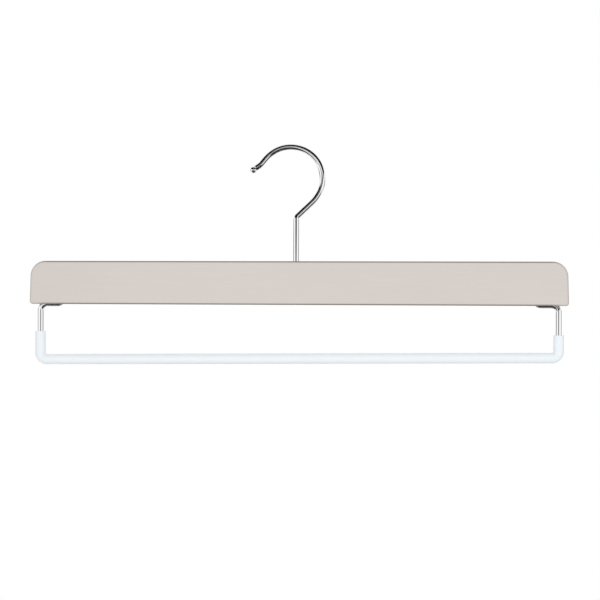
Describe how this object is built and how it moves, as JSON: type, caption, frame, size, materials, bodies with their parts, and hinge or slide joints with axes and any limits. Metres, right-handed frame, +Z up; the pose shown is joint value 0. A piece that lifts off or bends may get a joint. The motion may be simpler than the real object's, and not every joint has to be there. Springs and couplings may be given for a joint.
{
  "type": "trouser hanger",
  "caption": "Flat wooden trouser hanger with a turning wire hook and a wire trouser bar in a soft non-slip sleeve.",
  "frame": {"origin": "on the hook's turning axis, where it meets the inside of the hook's loop: the top of the rail that carries the hanger", "axes": "+X along the wooden bar to the right as seen from the front, +Y from front to back, +Z up along the hook's turning axis"},
  "size_m": [0.3798, 0.012, 0.1563],
  "materials": {
    "lacquered_wood": "pale greige satin lacquer",
    "chromed_hook_wire": "polished chrome",
    "chromed_rail_wire": "polished chrome",
    "zinc_plated_steel": "bright zinc plate",
    "soft_white_plastic": "smooth soft white plastic, satin"
  },
  "bodies": {
    "hook": {"swivel_hook": "chromed_hook_wire", "hook_nut": "zinc_plated_steel"},
    "bar": {"wooden_bar": "lacquered_wood", "hook_washer": "zinc_plated_steel", "trouser_bar": "chromed_rail_wire", "non_slip_sleeve": "soft_white_plastic"}
  },
  "joints": [
    {"name": "hook_swivel", "type": "hinge", "parent": "hook", "child": "bar", "pos_m": [0, 0, -0.07824], "axis": [0, 0, 1], "continuous": true}
  ]
}
